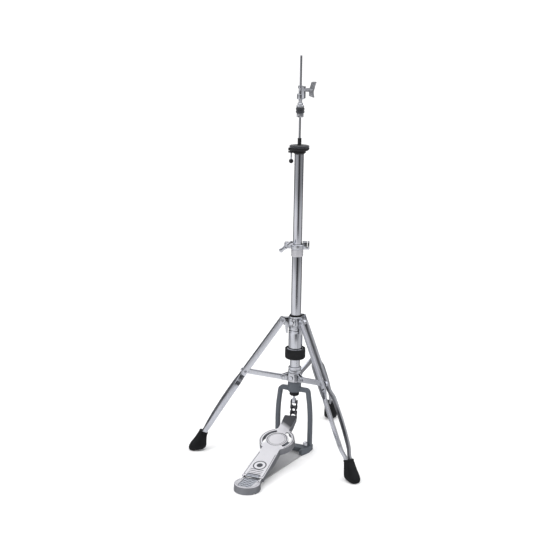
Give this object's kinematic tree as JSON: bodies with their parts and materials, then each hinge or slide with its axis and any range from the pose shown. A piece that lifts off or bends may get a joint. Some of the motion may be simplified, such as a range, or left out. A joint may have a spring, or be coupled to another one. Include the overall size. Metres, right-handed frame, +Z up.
{
  "type": "hi-hat stand",
  "caption": "Pedal-operated cymbal stand: telescopic column on a folding double-braced tripod, cast pedal with chain-driven pull rod, tilting felt seat and rod clutch.",
  "frame": {"origin": "on the floor, on the axis of the column and pull rod", "axes": "+Z up along the column, the heel of the pedal towards -Y, +X to the right of a player facing +Y"},
  "size_m": [0.5276, 0.6552, 1.117],
  "materials": {
    "chrome": "polished chrome plate",
    "satin_silver": "satin cast, lightly brushed",
    "grey_paint": "blue-grey powder coat",
    "black_plastic": "matt black",
    "black_steel": "blackened steel",
    "rubber": "moulded black rubber",
    "felt_grey": "dark grey felt",
    "felt_black": "black felt",
    "plate_steel": "satin steel sheet",
    "steel": "plain steel"
  },
  "bodies": {
    "stand_base": {"pedal_frame": "grey_paint", "frame_bush": "black_plastic", "base_plate": "plate_steel", "heel_plate": "satin_silver", "heel_hinge_pin": "steel", "lower_tube": "chrome", "spring_housing": "chrome", "return_spring": "steel", "tube_collar": "satin_silver", "height_clamp": "chrome"},
    "height_wing": {"height_wing_screw": "chrome"},
    "upper_column": {"upper_tube": "chrome", "seat_base": "black_plastic", "seat_sleeve": "black_plastic"},
    "seat_tilter": {"seat_cup": "black_plastic", "seat_felt": "felt_grey"},
    "tilt_adjuster": {"tilt_screw": "chrome", "tilt_knob": "black_plastic"},
    "rod": {"pull_rod": "chrome"},
    "link_1": {"chain_link_1": "black_steel"},
    "link_2": {"chain_link_2": "black_steel"},
    "link_3": {"chain_link_3": "black_steel"},
    "pedal": {"footboard": "satin_silver", "footboard_disc": "satin_silver", "chain_anchor": "black_steel"},
    "tension_knob": {"tension_ring": "black_plastic"},
    "carrier": {"spring_carrier": "black_steel"},
    "spur_right": {"spur_screw_right": "chrome"},
    "spur_left": {"spur_screw_left": "chrome"},
    "lower_hub": {"brace_hub": "chrome"},
    "lower_hub_screw": {"brace_hub_screw": "chrome"},
    "upper_hub": {"leg_hub": "chrome", "hub_gasket": "rubber", "leg_left_pin": "steel", "leg_right_pin": "steel", "leg_back_pin": "steel"},
    "upper_hub_screw": {"leg_hub_screw": "chrome"},
    "clutch": {"clutch_body": "chrome", "clutch_felt_upper": "felt_black", "clutch_felt_lower": "felt_black"},
    "clutch_wing": {"clutch_wing_screw": "chrome"},
    "clutch_nut": {"clutch_lock_nut": "chrome"},
    "clutch_foot_nut": {"clutch_bottom_nut": "chrome"},
    "left_leg": {"leg_left_strip_a": "chrome", "leg_left_strip_b": "chrome", "leg_left_foot": "rubber", "leg_left_rivet": "steel"},
    "left_brace": {"brace_left": "chrome"},
    "right_leg": {"leg_right_strip_a": "chrome", "leg_right_strip_b": "chrome", "leg_right_foot": "rubber", "leg_right_rivet": "steel"},
    "right_brace": {"brace_right": "chrome"},
    "back_leg": {"leg_back_strip_a": "chrome", "leg_back_strip_b": "chrome", "leg_back_foot": "rubber", "leg_back_rivet": "steel"},
    "back_brace": {"brace_back": "chrome"}
  },
  "joints": [
    {"name": "pedal_press", "type": "hinge", "parent": "stand_base", "child": "pedal", "pos_m": [0, -0.292, 0.016], "axis": [1, 0, 0], "range_deg": [-10, 0]},
    {"name": "rod_travel", "type": "slide", "parent": "stand_base", "child": "rod", "axis": [0, 0, 1], "range_m": [-0.0515, 0], "stiffness_N_per_m": 700, "springref_m": 0.03, "deforming": ["return_spring"]},
    {"name": "link_1_swing", "type": "hinge", "parent": "rod", "child": "link_1", "pos_m": [0, 0, 0.141], "axis": [1, 0, 0], "range_deg": [0, 8.99]},
    {"name": "link_2_swing", "type": "hinge", "parent": "link_1", "child": "link_2", "pos_m": [0, -0.0015, 0.12517], "axis": [1, 0, 0], "range_deg": [0, 3.95]},
    {"name": "link_3_swing", "type": "hinge", "parent": "link_2", "child": "link_3", "pos_m": [0, -0.003, 0.10933], "axis": [1, 0, 0], "range_deg": [0, 2.47]},
    {"name": "height_adjust", "type": "slide", "parent": "stand_base", "child": "upper_column", "axis": [0, 0, 1], "range_m": [-0.13, 0]},
    {"name": "height_wing_turn", "type": "hinge", "parent": "stand_base", "child": "height_wing", "pos_m": [-0.02819, -0.01026, 0.5995], "axis": [0.342, -0.9397, 0], "range_deg": [-180, 180]},
    {"name": "tilt_screw_turn", "type": "hinge", "parent": "upper_column", "child": "tilt_adjuster", "pos_m": [-0.0235, 0, 0.848], "axis": [0, 0, 1], "range_deg": [0, 360]},
    {"name": "seat_tilt", "type": "hinge", "parent": "upper_column", "child": "seat_tilter", "pos_m": [0, 0, 0.8613], "axis": [0, 1, 0], "range_deg": [0, 5]},
    {"name": "clutch_slide", "type": "slide", "parent": "rod", "child": "clutch", "axis": [0, 0, 1], "range_m": [0, 0.05]},
    {"name": "clutch_wing_turn", "type": "hinge", "parent": "clutch", "child": "clutch_wing", "pos_m": [0.016, 0, 1.0265], "axis": [1, 0, 0], "range_deg": [-180, 180]},
    {"name": "clutch_lock_nut_turn", "type": "hinge", "parent": "clutch", "child": "clutch_nut", "pos_m": [0, 0, 0.985], "axis": [0, 0, 1], "range_deg": [-360, 360]},
    {"name": "clutch_bottom_nut_turn", "type": "hinge", "parent": "clutch", "child": "clutch_foot_nut", "pos_m": [0, 0, 0.957], "axis": [0, 0, 1], "range_deg": [-360, 360]},
    {"name": "tension_turn", "type": "hinge", "parent": "stand_base", "child": "tension_knob", "pos_m": [0, 0, 0.287], "axis": [0, 0, 1], "range_deg": [-360, 0]},
    {"name": "carrier_lift", "type": "slide", "parent": "stand_base", "child": "carrier", "axis": [0, 0, 1], "range_m": [-0.0031, 0]},
    {"name": "spur_right_turn", "type": "hinge", "parent": "stand_base", "child": "spur_right", "pos_m": [0.043, -0.015, 0], "axis": [0, 0, 1], "range_deg": [-360, 360]},
    {"name": "spur_left_turn", "type": "hinge", "parent": "stand_base", "child": "spur_left", "pos_m": [-0.043, -0.015, 0], "axis": [0, 0, 1], "range_deg": [-360, 360]},
    {"name": "tripod_swivel", "type": "hinge", "parent": "stand_base", "child": "lower_hub", "pos_m": [0, 0, 0.22], "axis": [0, 0, 1], "range_deg": [-15, 15]},
    {"name": "lower_hub_screw_turn", "type": "hinge", "parent": "lower_hub", "child": "lower_hub_screw", "pos_m": [-0.00102, -0.02338, 0.2185], "axis": [-0.0436, -0.999, 0], "range_deg": [-180, 180]},
    {"name": "tripod_fold", "type": "slide", "parent": "lower_hub", "child": "upper_hub", "axis": [0, 0, 1], "range_m": [0, 0.09]},
    {"name": "upper_hub_screw_turn", "type": "hinge", "parent": "upper_hub", "child": "upper_hub_screw", "pos_m": [-0.00109, -0.02488, 0.382], "axis": [-0.0436, -0.999, 0], "range_deg": [-180, 180]},
    {"name": "left_leg_fold", "type": "hinge", "parent": "upper_hub", "child": "left_leg", "pos_m": [-0.03371, -0.01755, 0.386], "axis": [-0.4617, 0.887, 0], "range_deg": [-14.3, 0]},
    {"name": "left_brace_fold", "type": "hinge", "parent": "lower_hub", "child": "left_brace", "pos_m": [-0.02927, -0.01524, 0.2165], "axis": [-0.4617, 0.887, 0], "range_deg": [0, 41.48]},
    {"name": "right_leg_fold", "type": "hinge", "parent": "upper_hub", "child": "right_leg", "pos_m": [0.03205, -0.02042, 0.386], "axis": [-0.5373, -0.8434, 0], "range_deg": [-14.3, 0]},
    {"name": "right_brace_fold", "type": "hinge", "parent": "lower_hub", "child": "right_brace", "pos_m": [0.02783, -0.01773, 0.2165], "axis": [-0.5373, -0.8434, 0], "range_deg": [0, 41.48]},
    {"name": "back_leg_fold", "type": "hinge", "parent": "upper_hub", "child": "back_leg", "pos_m": [0.00166, 0.03796, 0.386], "axis": [0.999, -0.0436, 0], "range_deg": [-14.3, 0]},
    {"name": "back_brace_fold", "type": "hinge", "parent": "lower_hub", "child": "back_brace", "pos_m": [0.00144, 0.03297, 0.2165], "axis": [0.999, -0.0436, 0], "range_deg": [0, 41.48]}
  ],
  "couplings": [
    {"joint": "rod_travel", "follows": "pedal_press", "m_per_rad": 0.29163},
    {"joint": "link_1_swing", "follows": "pedal_press", "ratio": -0.86945},
    {"joint": "link_2_swing", "follows": "pedal_press", "ratio": -0.36517},
    {"joint": "link_3_swing", "follows": "pedal_press", "ratio": -0.21736},
    {"joint": "tilt_screw_turn", "follows": "seat_tilt", "ratio": 71.999},
    {"joint": "carrier_lift", "follows": "tension_turn", "m_per_rad": 0.0004933},
    {"joint": "left_leg_fold", "follows": "tripod_fold", "rad_per_m": -2.7634},
    {"joint": "left_brace_fold", "follows": "tripod_fold", "rad_per_m": 8.0343},
    {"joint": "right_leg_fold", "follows": "tripod_fold", "rad_per_m": -2.7634},
    {"joint": "right_brace_fold", "follows": "tripod_fold", "rad_per_m": 8.0343},
    {"joint": "back_leg_fold", "follows": "tripod_fold", "rad_per_m": -2.7634},
    {"joint": "back_brace_fold", "follows": "tripod_fold", "rad_per_m": 8.0343}
  ]
}
